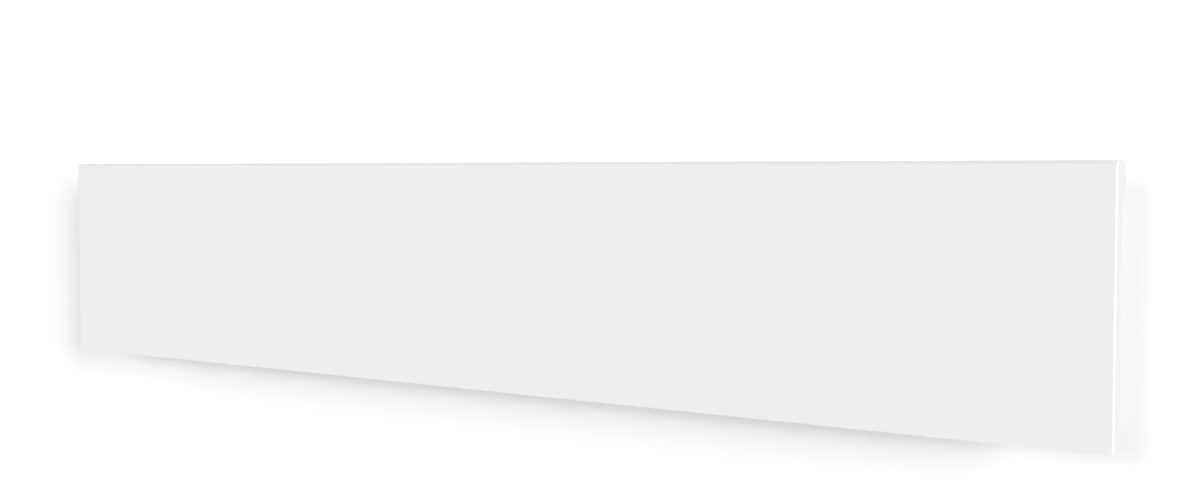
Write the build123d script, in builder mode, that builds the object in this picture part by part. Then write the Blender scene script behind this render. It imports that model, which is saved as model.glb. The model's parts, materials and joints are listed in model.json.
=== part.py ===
from build123d import *
from math import cos, radians, sin
import os

os.makedirs("parts", exist_ok=True)

# Low wall convector heater with a flat floating front panel.
# +X runs to the right as seen from the room, +Y towards the wall, +Z up.
# The origin lies on the wall plane, in the middle of the bracket's screw pattern.
# All sizes are millimetres.

# Whole heater
panel_length = 1140.0
panel_height = 200.0
overall_depth = 88.0

# Front panel, a folded steel tray
panel_sheet = 1.2
panel_return = 10.0
panel_top_return = 16.0
panel_end_height = 22.0
panel_lip = 14.0
panel_top_radius = 5.0
panel_bottom_radius = 3.0
panel_end_radius = 1.4

# Casing behind the panel
body_inset = 40.0
body_height = 180.0
body_depth = 52.0
wall_gap = 14.0
sheet = 1.0
casing_lip = 8.0
cap_wall = 2.5
cap_rim = 9.0
control_length = 125.0
pressed_depth = 2.0
pressed_height = 96.0
pressed_corner = 12.0
pressed_margin = 34.0

# General clearances
fit_gap = 0.3
running_gap = 0.05

# Wall bracket, its hooks and its clips
bracket_sheet = 1.5
leg_spacing = 500.0
leg_width = 36.0
leg_rise = 80.0
bar_height = 40.0
screw_rows = 90.0
slot_width = 5.5
slot_length = 12.0
hook_level = -70.0
hook_width = 20.0
hook_reach = 20.0
hook_lip = 8.0
hook_gap = 0.4
hook_slot_height = 14.0
hook_side_gap = 2.0
tab_level = 61.0
tab_width = 20.0
tab_reach = 10.0
tab_window = 10.0
clip_sheet = 0.8
clip_gap = 0.5
clip_width = 16.0
clip_flare = 2.0

# Outlet grille on the casing's top
grille_width = 36.0
grille_end_margin = 15.0
grille_rim = 4.0
grille_rim_height = 1.5
grille_collar = 8.0
grille_wall = 1.2
vane_count = 3
vane_lean = 3.0
rib_pitch = 65.0

# Inlet grille in the casing's bottom
inlet_slot_width = 6.0
inlet_slot_length = 90.0
inlet_pitch = 100.0
inlet_rows = 3
inlet_row_pitch = 10.0

# Heating element
element_level = -50.0
element_end_gap = 47.5
element_control_gap = 45.0
tube_radius = 6.0
wing_reach = 24.0
wing_thickness = 2.0
slit_width = 2.0
slit_pitch = 48.0
slit_root = 9.0
rod_radius = 4.0
rod_overhang = 18.0
pin_length = 8.0
support_sheet = 1.2
support_offset = 8.0
support_height = 50.0
support_foot = 14.0
bush_half = 7.0
bush_flange = 9.0
bush_flange_length = 3.0
cutout_radius = 8.0
cutout_length = 9.0
cutout_level = 15.0
shield_sheet = 0.5
shield_standoff = 2.5
shield_bottom = -50.0
shield_top = 70.0
shield_foot_half = 4.0

# Panel hangers, their lugs and the slots that take them
hanger_inset = 170.0
hanger_width = 30.0
hanger_foot = 11.0
hanger_height = 120.0
lug_width = 6.0
lug_drop = 5.0
lug_spacing = 90.0
lock_inset = 5.0

# Screws
screw_radius = 1.5
screw_clear = 0.2
screw_head = 3.0
screw_head_height = 2.0
screw_length = 5.0

# Control head at the right end
control_margin = 3.0
fascia_thickness = 2.0
housing_wall = 1.5
housing_width = 38.0
housing_depth = 30.0
fascia_rim = 4.0
board_drop = 10.4
board_thickness = 1.6
board_gap = 1.5
post_half = 2.5
post_inset = 6.0
snap_grip = 1.0
snap_height = 1.5
window_length = 40.0
window_width = 20.0
window_thickness = 1.0
window_ledge = 2.0
window_offset = 6.0
button_radius = 4.5
button_flange = 5.4
button_flange_height = 1.1
button_rise = 1.2
button_pitch = 16.0
button_end_offset = 24.0
button_stem = 1.5
button_travel = 0.7
switch_size = 6.0
switch_height = 3.5
plunger_half = 1.5
plunger_height = 1.5
lens_half = 1.5
lens_offset = 9.0

# Mains rocker switch in the right end cap
rocker_level = 10.0
rocker_body_height = 22.0
rocker_body_width = 14.0
rocker_rim = 2.0
rocker_rim_height = 2.0
rocker_depth = 14.0
rocker_floor = 2.0
rocker_opening_height = 18.8
rocker_opening_width = 11.0
rocker_width = 10.0
rocker_half = 8.4
rocker_crest = 4.6
rocker_dish = 3.0
rocker_swing = 22.0
rocker_pin = 1.2
pivot_inset = 1.5
spade_width = 4.8
spade_sheet = 0.8
spade_length = 8.0
spade_offset = 6.0

# Supply side of the control compartment
gland_offset = 40.0
gland_bore = 3.9
gland_thread = 6.0
gland_hex = 15.0
gland_outside = 8.0
gland_inside = 9.0
gland_nut_height = 4.0
block_offset = 95.0
block_length = 30.0
block_width = 20.0
block_height = 18.0
block_ways = 3
sensor_offset = 15.0
sensor_radius = 2.5
sensor_length = 18.0
sensor_level = -80.0
sensor_y_shift = -14.0
sensor_clip_wall = 1.5
lead_radius = 1.2
lead_sides = 6
lead_bend = 9.0
grommet_half = 6.0
grommet_neck = 4.5
grommet_length = 6.0
grommet_bore = 1.6
spacer_radius = 7.0
spacer_level = 72.0
spacer_offset = 40.0

# Planes and limits worked out from the sizes above
panel_end = panel_length / 2
panel_top = panel_height / 2
panel_bottom = -panel_height / 2
front_y = -overall_depth
panel_inner_y = front_y + panel_sheet
body_end = panel_end - body_inset
casing_end = body_end - cap_wall
body_top = body_height / 2
body_bottom = -body_height / 2
back_y = -wall_gap
back_inner_y = back_y - sheet
body_front_y = back_y - body_depth
lip_y = body_front_y + sheet
chamber_y = (back_y + body_front_y) / 2
partition_x = body_end - control_length
leg_x = leg_spacing / 2
hook_axis_z = hook_level + hook_gap
outlet_span = (-casing_end + grille_end_margin, partition_x - grille_end_margin + 2 * sheet)
element_left = -casing_end + element_end_gap
element_right = partition_x - element_control_gap
fascia_top = body_top + fascia_thickness
housing_left = partition_x + sheet + 2 * control_margin
housing_right = casing_end - cap_rim - control_margin
board_top = body_top - board_drop
board_bottom = board_top - board_thickness
pivot_x = body_end + rocker_rim_height - pivot_inset
gland_x = body_end - gland_offset
block_x = body_end - block_offset
switch_top = board_top + switch_height
stem_end = switch_top + plunger_height + button_travel + 2 * running_gap
screw_hole = screw_radius + screw_clear


def block(x_span, y_span, z_span, mode=Mode.ADD):
    """Add or cut a block given by its two limits along each axis."""
    spans = (x_span, y_span, z_span)
    centre = tuple((low + high) / 2 for low, high in spans)
    size = tuple(high - low for low, high in spans)
    with Locations(centre):
        Box(*size, mode=mode)


def flat(u_span, v_span, mode=Mode.ADD):
    """Add or cut a sketch rectangle given by its limits along the sketch's axes."""
    with Locations(((u_span[0] + u_span[1]) / 2, (v_span[0] + v_span[1]) / 2)):
        Rectangle(u_span[1] - u_span[0], v_span[1] - v_span[0], mode=mode)


def around(centre, half):
    """Limits that lie half to each side of a centre."""
    return (centre - half, centre + half)


def across(x):
    """Upright plane square to the heater's length, its axes along Y and Z."""
    return Plane.YZ.offset(x)


def facing(y):
    """Upright plane parallel to the wall, its normal towards the room."""
    return Plane.XZ.offset(-y)


def lead(points, bend):
    """Round lead along straight runs joined by tangent arcs."""
    with BuildPart() as wire:
        with BuildLine() as route:
            FilletPolyline(*points, radius=bend)
        start = Vector(points[0])
        with BuildSketch(Plane(start, z_dir=Vector(points[1]) - start)):
            RegularPolygon(lead_radius, lead_sides)
        sweep(path=route.wires()[0])
    return wire


# Front panel: a tray folded from one sheet, deeper along the top.
panel_return_y = front_y + panel_return
panel_top_return_y = front_y + panel_top_return
end_tab_bottom = panel_top - panel_end_height
end_tab_slope = panel_top_return - panel_return

with BuildPart() as front_panel:
    with BuildSketch(across(-panel_end)) as outline:
        with BuildLine():
            Polyline(
                (front_y, panel_bottom),
                (panel_return_y, panel_bottom),
                (panel_return_y, end_tab_bottom - end_tab_slope),
                (panel_top_return_y, end_tab_bottom),
                (panel_top_return_y, panel_top),
                (front_y, panel_top),
                close=True,
            )
        make_face()
        front_corners = outline.vertices().group_by(Axis.X)[0].sort_by(Axis.Y)
        fillet(front_corners[-1], radius=panel_top_radius)
        fillet(front_corners[0], radius=panel_bottom_radius)
    extrude(amount=panel_length)
    front_face = front_panel.faces().sort_by(Axis.Y)[0]
    fillet(front_face.edges().filter_by(Axis.Z), radius=panel_end_radius)
    with BuildSketch(across(-panel_end + panel_sheet)) as hollow:
        with BuildLine():
            Polyline(
                (panel_inner_y, panel_bottom + panel_sheet),
                (body_front_y, panel_bottom + panel_sheet),
                (body_front_y, panel_top - panel_lip),
                (panel_top_return_y - panel_sheet, panel_top - panel_lip),
                (panel_top_return_y - panel_sheet, panel_top - panel_sheet),
                (panel_inner_y, panel_top - panel_sheet),
                close=True,
            )
        make_face()
        front_corners = hollow.vertices().group_by(Axis.X)[0].sort_by(Axis.Y)
        fillet(front_corners[-1], radius=panel_top_radius - panel_sheet)
        fillet(front_corners[0], radius=panel_bottom_radius - panel_sheet)
    extrude(amount=panel_length - 2 * panel_sheet, mode=Mode.SUBTRACT)
front_panel.part.label = "front_panel"
export_step(front_panel.part, "parts/front_panel.step")

# Panel hangers: hat sections welded to the panel, open above and below. Lugs on their feet
# pass through slots in the inner front and drop behind it.
hanger_half = hanger_width / 2
foot_x = hanger_half + hanger_foot / 2
hanger_spacing = panel_end - hanger_inset
hanger_places = {"left": -hanger_spacing, "centre": 0.0, "right": hanger_spacing}
lug_levels = (-lug_spacing / 2, lug_spacing / 2)
lug_back_y = lip_y + fit_gap
lock_z = -hanger_height / 2 + lock_inset
lock_places = [(side * (hanger_spacing + foot_x), lock_z) for side in (-1, 1)]

for name, centre_x in hanger_places.items():
    with BuildPart() as hanger:
        with BuildSketch(Plane.XY.offset(-hanger_height / 2)):
            flat(around(centre_x, hanger_half + hanger_foot), (body_front_y - sheet, body_front_y))
            flat(around(centre_x, hanger_half), (panel_inner_y, body_front_y))
            flat(around(centre_x, hanger_half - sheet), (panel_inner_y + sheet, body_front_y),
                 mode=Mode.SUBTRACT)
        extrude(amount=hanger_height)
        for side in (-1, 1):
            lug_x = around(centre_x + side * foot_x, lug_width / 2)
            for level in lug_levels:
                block(lug_x, (body_front_y, lug_back_y + sheet), (level, level + sheet))
                block(lug_x, (lug_back_y, lug_back_y + sheet), (level - lug_drop, level + sheet))
        if name != "centre":
            with BuildSketch(facing(body_front_y)):
                with Locations(*lock_places):
                    Circle(screw_hole)
            extrude(amount=sheet, mode=Mode.SUBTRACT)
    hanger.part.label = f"panel_hanger_{name}"
    export_step(hanger.part, f"parts/panel_hanger_{name}.step")


with BuildPart() as panel_screws:
    with BuildSketch(facing(body_front_y - sheet)):
        with Locations(*lock_places):
            RegularPolygon(screw_head, 6)
    extrude(amount=screw_head_height)
    with BuildSketch(facing(body_front_y - sheet)):
        with Locations(*lock_places):
            Circle(screw_radius)
    extrude(amount=-screw_length)
panel_screws.part.label = "panel_screws"
export_step(panel_screws.part, "parts/panel_screws.step")

# Rear casing: one folded sheet with lips at the front, windows above and below.
outlet_window = around(chamber_y, grille_width / 2)
housing_y = around(chamber_y, housing_width / 2)
pressed_spans = [
    (-casing_end + pressed_margin, -leg_x - pressed_margin),
    (-leg_x + pressed_margin, leg_x - pressed_margin),
    (leg_x + pressed_margin, partition_x - pressed_margin),
]


def pressed_fields(plane, shrink):
    """Fields of the back wall with cut corners, drawn in by shrink on every side."""
    with BuildPart() as fields:
        with BuildSketch(plane) as outlines:
            for low, high in pressed_spans:
                flat((low + shrink, high - shrink), around(0, pressed_height / 2 - shrink))
            chamfer(outlines.vertices(), length=pressed_corner)
        extrude(amount=-pressed_depth)
    return fields.part


with BuildPart() as rear_casing:
    with BuildSketch(across(-casing_end)):
        flat((body_front_y + sheet, back_y), (body_bottom, body_top))
        flat((lip_y + sheet, back_inner_y), (body_bottom + sheet, body_top - sheet),
             mode=Mode.SUBTRACT)
        flat((lip_y, lip_y + sheet),
             around(0, body_top - sheet - casing_lip), mode=Mode.SUBTRACT)
    extrude(amount=2 * casing_end)
    add(pressed_fields(facing(back_y), 0))
    add(pressed_fields(facing(back_inner_y), sheet), mode=Mode.SUBTRACT)
    block(outlet_span, outlet_window, (body_top - sheet, body_top), mode=Mode.SUBTRACT)
    block(outlet_span, outlet_window, (body_bottom, body_bottom + sheet), mode=Mode.SUBTRACT)
    block((housing_left - fit_gap, housing_right + fit_gap),
          around(chamber_y, housing_width / 2 + fit_gap),
          (body_top - sheet, body_top), mode=Mode.SUBTRACT)
    with Locations((gland_x, chamber_y, body_bottom)):
        Cylinder(gland_thread + fit_gap, 2 * sheet, mode=Mode.SUBTRACT)
    with BuildSketch(facing(back_y)):
        for x in (-leg_x, leg_x):
            flat(around(x, hook_width / 2 + hook_side_gap),
                 (hook_axis_z - hook_slot_height, hook_axis_z))
            flat(around(x, tab_width / 2), (tab_level - tab_window, tab_level))
    extrude(amount=sheet, mode=Mode.SUBTRACT)
    for x in (-leg_x, leg_x):
        block(around(x, tab_width / 2), (back_inner_y, back_y + tab_reach),
              (tab_level, tab_level + sheet))
rear_casing.part.label = "rear_casing"
export_step(rear_casing.part, "parts/rear_casing.step")

# Inner front: welded to the casing's lips, closes the heating chamber behind the air gap.
with BuildPart() as inner_front:
    with BuildSketch(facing(lip_y)):
        flat(around(0, casing_end - fit_gap), around(0, body_top - sheet))
        with Locations(*lock_places):
            Circle(screw_hole, mode=Mode.SUBTRACT)
        for centre_x in hanger_places.values():
            for side in (-1, 1):
                for level in lug_levels:
                    flat(around(centre_x + side * foot_x, lug_width / 2 + fit_gap),
                         (level, level + lug_drop + 2 * sheet), mode=Mode.SUBTRACT)
    extrude(amount=sheet)
inner_front.part.label = "inner_front"
export_step(inner_front.part, "parts/inner_front.step")

# Heat shield: thin reflective sheet held off the back wall on pressed feet.
shield_left = element_left + support_foot
shield_right = element_right - support_foot
shield_y = back_inner_y - shield_standoff
shield_pitch = 3 * (shield_right - shield_left) / 4
with BuildPart() as heat_shield:
    block((shield_left, shield_right), (shield_y - shield_sheet, shield_y),
          (shield_bottom, shield_top))
    with BuildSketch(facing(shield_y)):
        with Locations(((shield_left + shield_right) / 2, (shield_bottom + shield_top) / 2)):
            with GridLocations(shield_pitch, shield_top - shield_bottom - 4 * shield_foot_half,
                               2, 2):
                Rectangle(2 * shield_foot_half, 2 * shield_foot_half)
    extrude(amount=-shield_standoff)
heat_shield.part.label = "heat_shield"
export_step(heat_shield.part, "parts/heat_shield.step")

# End caps: moulded covers whose rims plug into the casing's open ends.
rim_half = body_top - sheet - fit_gap
rim_y = (lip_y + sheet + fit_gap, back_inner_y - fit_gap)


def end_cap(side):
    """Moulded cap for one end of the casing, side is -1 on the left and 1 on the right."""
    outer = side * body_end
    inner = side * casing_end
    with BuildPart() as cap:
        with BuildSketch(across(min(outer, inner))):
            flat((body_front_y, back_y), (body_bottom, body_top))
        extrude(amount=cap_wall)
        end_face = cap.faces().sort_by(Axis.X)[-1 if side > 0 else 0]
        fillet(end_face.edges(), radius=cap_wall / 2)
        with BuildSketch(across(inner)):
            flat(rim_y, around(0, rim_half))
            flat((rim_y[0] + cap_wall, rim_y[1] - cap_wall), around(0, rim_half - cap_wall),
                 mode=Mode.SUBTRACT)
        extrude(amount=-side * cap_rim)
    return cap


end_cap_left = end_cap(-1)
end_cap_left.part.label = "end_cap_left"
export_step(end_cap_left.part, "parts/end_cap_left.step")

vent_pitch = 7.0
vent_height = 2.5
vent_width = 26.0
vent_level = -62.0
with BuildPart() as end_cap_right:
    add(end_cap(1).part)
    with BuildSketch(across(casing_end)):
        with Locations((chamber_y, rocker_level)):
            Rectangle(rocker_body_width + 2 * fit_gap, rocker_body_height + 2 * fit_gap)
        with Locations((chamber_y, vent_level)):
            with GridLocations(0, vent_pitch, 1, 4):
                Rectangle(vent_width, vent_height)
    extrude(amount=cap_wall, mode=Mode.SUBTRACT)
end_cap_right.part.label = "end_cap_right"
export_step(end_cap_right.part, "parts/end_cap_right.step")

# Partition between the heating chamber and the control compartment.
cutout_hole = cutout_radius - 2 * sheet
return_lead_y = back_inner_y - 9.0
return_lead_z = body_bottom + 11.0
grommet_places = ((chamber_y, element_level), (return_lead_y, return_lead_z))
with BuildPart() as partition_wall:
    with BuildSketch(across(partition_x)):
        flat((lip_y + sheet + fit_gap, back_inner_y), around(0, body_top - sheet - fit_gap))
        for y, z in grommet_places:
            flat(around(y, grommet_neck + running_gap), around(z, grommet_neck + running_gap),
                 mode=Mode.SUBTRACT)
        flat(around(chamber_y, cutout_hole), around(cutout_level, cutout_hole),
             mode=Mode.SUBTRACT)
    extrude(amount=sheet)
    block((partition_x, partition_x + casing_lip), (back_inner_y - sheet, back_inner_y),
          around(0, rim_half))
partition_wall.part.label = "partition_wall"
export_step(partition_wall.part, "parts/partition_wall.step")

# Outlet grille: a rimmed frame with long bent vanes crossed by thin ribs.
grille_bottom = body_top - grille_collar
grille_top = body_top + grille_rim_height
collar_x = (outlet_span[0] + fit_gap, outlet_span[1] - fit_gap)
collar_y = (outlet_window[0] + fit_gap, outlet_window[1] - fit_gap)
opening_x = (collar_x[0] + grille_wall, collar_x[1] - grille_wall)
opening_y = (collar_y[0] + grille_wall, collar_y[1] - grille_wall)
vane_pitch = (opening_y[1] - opening_y[0]) / (vane_count + 1)
vane_middle = (grille_bottom + grille_top) / 2
rib_count = int((opening_x[1] - opening_x[0]) / rib_pitch)
with BuildPart() as outlet_grille:
    block((outlet_span[0] - grille_rim, outlet_span[1] + grille_rim),
          (outlet_window[0] - grille_rim, outlet_window[1] + grille_rim),
          (body_top, grille_top))
    rim_face = outlet_grille.faces().sort_by(Axis.Z)[-1]
    chamfer(rim_face.edges(), length=grille_rim_height / 3)
    block(collar_x, collar_y, (grille_bottom, body_top))
    block(opening_x, opening_y, (grille_bottom, grille_top), mode=Mode.SUBTRACT)
    with BuildSketch(across(collar_x[0])):
        for number in range(vane_count):
            root = opening_y[0] + (number + 1) * vane_pitch + vane_lean / 2
            tip = root - vane_lean
            waist = root - vane_lean / 4
            with BuildLine():
                Polyline(
                    (root, grille_bottom),
                    (waist, vane_middle),
                    (tip, grille_top),
                    (tip + grille_wall, grille_top),
                    (waist + grille_wall, vane_middle),
                    (root + grille_wall, grille_bottom),
                    close=True,
                )
            make_face()
    extrude(amount=collar_x[1] - collar_x[0])
    rib_z = (grille_bottom, grille_top - grille_rim_height / 2)
    with Locations((sum(collar_x) / 2, chamber_y, sum(rib_z) / 2)):
        with GridLocations(rib_pitch, 0, rib_count, 1):
            Box(grille_wall, collar_y[1] - collar_y[0], rib_z[1] - rib_z[0])
outlet_grille.part.label = "outlet_grille"
export_step(outlet_grille.part, "parts/outlet_grille.step")

# Inlet grille: slotted plate lying over the window in the casing's bottom.
inlet_count = int((outlet_span[1] - outlet_span[0]) / inlet_pitch)
with BuildPart() as inlet_grille:
    with BuildSketch(Plane.XY.offset(body_bottom + sheet)):
        flat((outlet_span[0] - grille_rim, outlet_span[1] + grille_rim),
             (outlet_window[0] - grille_rim, outlet_window[1] + grille_rim))
        with Locations((sum(outlet_span) / 2, chamber_y)):
            with GridLocations(inlet_pitch, inlet_row_pitch, inlet_count, inlet_rows):
                Rectangle(inlet_slot_length, inlet_slot_width, mode=Mode.SUBTRACT)
    extrude(amount=sheet)
inlet_grille.part.label = "inlet_grille"
export_step(inlet_grille.part, "parts/inlet_grille.step")

# Element: extruded tube with four wings, slit across into blades.
element_length = element_right - element_left
element_middle = (element_left + element_right) / 2
slit_count = int((element_length - slit_pitch) / slit_pitch)
with BuildPart() as element_fins:
    with BuildSketch(across(element_left)):
        with Locations((chamber_y, element_level)):
            Circle(tube_radius)
            for angle in (45, -45):
                Rectangle(2 * wing_reach, wing_thickness, rotation=angle)
            Circle(rod_radius + running_gap, mode=Mode.SUBTRACT)
    extrude(amount=element_length)
    with BuildSketch(across(element_middle - (slit_count - 1) * slit_pitch / 2 - slit_width / 2)):
        with Locations((chamber_y, element_level)):
            Circle(wing_reach + slit_width)
            Rectangle(2 * slit_root, 2 * slit_root, rotation=45, mode=Mode.SUBTRACT)
    ring = extrude(amount=slit_width, mode=Mode.PRIVATE)
    with Locations(*[(number * slit_pitch, 0, 0) for number in range(slit_count)]):
        add(ring, mode=Mode.SUBTRACT)
element_fins.part.label = "element_fins"
export_step(element_fins.part, "parts/element_fins.step")

# Heating rod: sheathed rod through the tube, a flat connection pin at each end.
rod_left = element_left - rod_overhang
rod_right = element_right + rod_overhang
with BuildPart() as heating_rod:
    with BuildSketch(across(rod_left)):
        with Locations((chamber_y, element_level)):
            Circle(rod_radius)
    extrude(amount=rod_right - rod_left)
heating_rod.part.label = "heating_rod"
export_step(heating_rod.part, "parts/heating_rod.step")

with BuildPart() as rod_terminals:
    for start in (rod_left - pin_length, rod_right):
        block((start, start + pin_length), around(chamber_y, spade_sheet / 2),
              around(element_level, spade_width / 2))
rod_terminals.part.label = "rod_terminals"
export_step(rod_terminals.part, "parts/rod_terminals.step")

# Element supports: angle brackets on the back wall, each with a square ceramic bush.
support_half = support_height / 2
support_front = chamber_y - bush_flange - 2 * support_sheet
for name, side, plate in (("left", -1, element_left - support_offset),
                          ("right", 1, element_right + support_offset)):
    outer_face = plate + side * support_sheet
    with BuildPart() as support:
        with BuildSketch(across(min(plate, outer_face))) as support_plate:
            flat((support_front, back_inner_y), around(element_level, support_half))
            chamfer(support_plate.vertices().group_by(Axis.X)[0], length=bush_flange)
            flat(around(chamber_y, bush_half), around(element_level, bush_half),
                 mode=Mode.SUBTRACT)
        extrude(amount=support_sheet)
        foot_end = plate + side * support_foot
        block((min(plate, foot_end), max(plate, foot_end)),
              (back_inner_y - support_sheet, back_inner_y),
              around(element_level, support_half))
    support.part.label = f"element_support_{name}"
    export_step(support.part, f"parts/element_support_{name}.step")

    with BuildPart() as bush:
        flange_end = plate - side * bush_flange_length
        neck_end = outer_face + side * bush_flange_length
        block((min(plate, flange_end), max(plate, flange_end)),
              around(chamber_y, bush_flange), around(element_level, bush_flange))
        block((min(plate, neck_end), max(plate, neck_end)),
              around(chamber_y, bush_half - running_gap),
              around(element_level, bush_half - running_gap))
        with BuildSketch(across(plate)):
            with Locations((chamber_y, element_level)):
                Circle(rod_radius + running_gap)
        extrude(amount=support_offset, both=True, mode=Mode.SUBTRACT)
    bush.part.label = f"element_bush_{name}"
    export_step(bush.part, f"parts/element_bush_{name}.step")

# Thermal cut-out: disc on a square flange, its tabs in the control compartment.
tab_start = partition_x + sheet
flange_start = partition_x - cutout_length / 3
with BuildPart() as thermal_cutout:
    block((flange_start, partition_x), around(chamber_y, cutout_radius),
          around(cutout_level, cutout_radius))
    with BuildSketch(across(flange_start)):
        with Locations((chamber_y, cutout_level)):
            Circle(cutout_radius - sheet)
    extrude(amount=-2 * cutout_length / 3)
    block((partition_x, tab_start + fit_gap), around(chamber_y, cutout_hole - fit_gap),
          around(cutout_level, cutout_hole - fit_gap))
    for shift in (-spade_width / 2, spade_width / 2):
        block((tab_start, tab_start + spade_length),
              around(chamber_y + shift, spade_sheet / 2),
              around(cutout_level, spade_width / 2))
thermal_cutout.part.label = "thermal_cutout"
export_step(thermal_cutout.part, "parts/thermal_cutout.step")

# Grommets: flanged rubber blocks where leads pass the partition.
with BuildPart() as grommets:
    for y, z in grommet_places:
        block((tab_start, tab_start + grommet_length / 3),
              around(y, grommet_half), around(z, grommet_half))
        block((tab_start - 2 * grommet_length / 3, tab_start),
              around(y, grommet_neck), around(z, grommet_neck))
        with BuildSketch(across(tab_start)):
            with Locations((y, z)):
                Circle(grommet_bore)
        extrude(amount=grommet_length, both=True, mode=Mode.SUBTRACT)
grommets.part.label = "grommets"
export_step(grommets.part, "parts/grommets.step")

# Control housing: moulded tub hung in the casing's top, its flange is the fascia.
window_x = around(housing_left + window_offset + window_length / 2, window_length / 2)
button_end_x = housing_right - button_end_offset + button_pitch / 2
button_xs = {
    "minus": button_end_x - 2 * button_pitch,
    "plus": button_end_x - button_pitch,
    "ok": button_end_x,
}
board_x = (housing_left + housing_wall + board_gap, housing_right - housing_wall - board_gap)
board_y = (housing_y[0] + housing_wall + board_gap, housing_y[1] - housing_wall - board_gap)
post_y = housing_width / 2 - post_inset
post_places = [
    (x, chamber_y + side * post_y)
    for x in (housing_left + post_inset, housing_right - post_inset)
    for side in (-1, 1)
]
lens_place = (button_end_x + lens_offset, chamber_y)
with BuildPart() as control_housing:
    block((housing_left - fascia_rim, housing_right + fascia_rim),
          (housing_y[0] - fascia_rim, housing_y[1] + fascia_rim),
          (body_top, fascia_top))
    fascia = control_housing.faces().sort_by(Axis.Z)[-1]
    chamfer(fascia.edges(), length=fascia_thickness / 3)
    block((housing_left, housing_right), housing_y, (body_top - housing_depth, body_top))
    block((housing_left + housing_wall, housing_right - housing_wall),
          (housing_y[0] + housing_wall, housing_y[1] - housing_wall),
          (body_top - housing_depth, body_top), mode=Mode.SUBTRACT)
    for x, y in post_places:
        block(around(x, post_half), around(y, post_half), (board_top, body_top))
    for wall_x, hook_x in ((housing_left + housing_wall, board_x[0] + snap_grip),
                           (housing_right - housing_wall, board_x[1] - snap_grip)):
        block((min(wall_x, hook_x), max(wall_x, hook_x)), around(chamber_y, post_half),
              (board_bottom - snap_height, board_bottom))
    block(window_x, around(chamber_y, window_width / 2),
          (fascia_top - window_thickness, fascia_top), mode=Mode.SUBTRACT)
    block((window_x[0] + window_ledge, window_x[1] - window_ledge),
          around(chamber_y, window_width / 2 - window_ledge),
          (body_top, fascia_top), mode=Mode.SUBTRACT)
    with BuildSketch(Plane.XY.offset(body_top)):
        with Locations(*[(x, chamber_y) for x in button_xs.values()]):
            Circle(button_radius + fit_gap)
        with Locations(lens_place):
            Rectangle(2 * (lens_half + running_gap), 2 * (lens_half + running_gap))
    extrude(amount=fascia_thickness, mode=Mode.SUBTRACT)
control_housing.part.label = "control_housing"
export_step(control_housing.part, "parts/control_housing.step")

with BuildPart() as display_window:
    block((window_x[0] + running_gap, window_x[1] - running_gap),
          around(chamber_y, window_width / 2 - running_gap),
          (fascia_top - window_thickness, fascia_top))
display_window.part.label = "display_window"
export_step(display_window.part, "parts/display_window.step")

with BuildPart() as indicator_lens:
    block(around(lens_place[0], lens_half), around(lens_place[1], lens_half),
          (body_top - fascia_thickness, fascia_top))
indicator_lens.part.label = "indicator_lens"
export_step(indicator_lens.part, "parts/indicator_lens.step")

# Circuit board with what it carries.
with BuildPart() as circuit_board:
    block(board_x, board_y, (board_bottom, board_top))
circuit_board.part.label = "circuit_board"
export_step(circuit_board.part, "parts/circuit_board.step")

with BuildPart() as display_module:
    block((window_x[0] + window_ledge, window_x[1] - window_ledge),
          around(chamber_y, window_width / 2 - window_ledge),
          (board_top, body_top - running_gap))
display_module.part.label = "display_module"
export_step(display_module.part, "parts/display_module.step")

relay_x = board_x[0] + 16.0
transformer_x = relay_x + 24.0
connector_x = transformer_x + 20.0
radio_x = connector_x + 22.0
relay_drop = 16.0
connector_drop = 12.0
component_half = 8.0
with BuildPart() as board_components:
    block(around(relay_x, component_half), around(chamber_y, component_half),
          (board_bottom - relay_drop, board_bottom))
    block(around(transformer_x, component_half), around(chamber_y, component_half + 2),
          (board_bottom - relay_drop - 2, board_bottom))
    block(around(connector_x, component_half / 2), around(chamber_y, component_half),
          (board_bottom - connector_drop, board_bottom))
    with Locations((radio_x - component_half - 3, chamber_y - component_half,
                    board_bottom - connector_drop / 2)):
        Cylinder(component_half / 2, connector_drop)
board_components.part.label = "board_components"
export_step(board_components.part, "parts/board_components.step")

radio_can = 2.4
with BuildPart() as radio_module:
    block(around(radio_x + 2, component_half), around(chamber_y + 3, component_half),
          (board_bottom - radio_can, board_bottom))
radio_module.part.label = "radio_module"
export_step(radio_module.part, "parts/radio_module.step")

with BuildPart() as tact_switches:
    for x in button_xs.values():
        block(around(x, switch_size / 2), around(chamber_y, switch_size / 2),
              (board_top, switch_top))
        block(around(x, plunger_half), around(chamber_y, plunger_half),
              (switch_top, switch_top + plunger_height))
tact_switches.part.label = "tact_switches"
export_step(tact_switches.part, "parts/tact_switches.step")

# Push buttons: round caps with a square retaining flange and a stem over each switch.
flange_top = body_top - fit_gap
cap_top = fascia_top + button_rise
for name, x in button_xs.items():
    with BuildPart() as button:
        with BuildSketch(Plane.XY.offset(flange_top)):
            with Locations((x, chamber_y)):
                Circle(button_radius)
        extrude(amount=cap_top - flange_top)
        chamfer(button.edges().group_by(Axis.Z)[-1], length=button_rise / 3)
        block(around(x, button_flange), around(chamber_y, button_flange),
              (flange_top - button_flange_height, flange_top))
        block(around(x, button_stem), around(chamber_y, button_stem), (stem_end, flange_top))
    button.part.label = f"button_{name}"
    export_step(button.part, f"parts/button_{name}.step")

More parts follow.
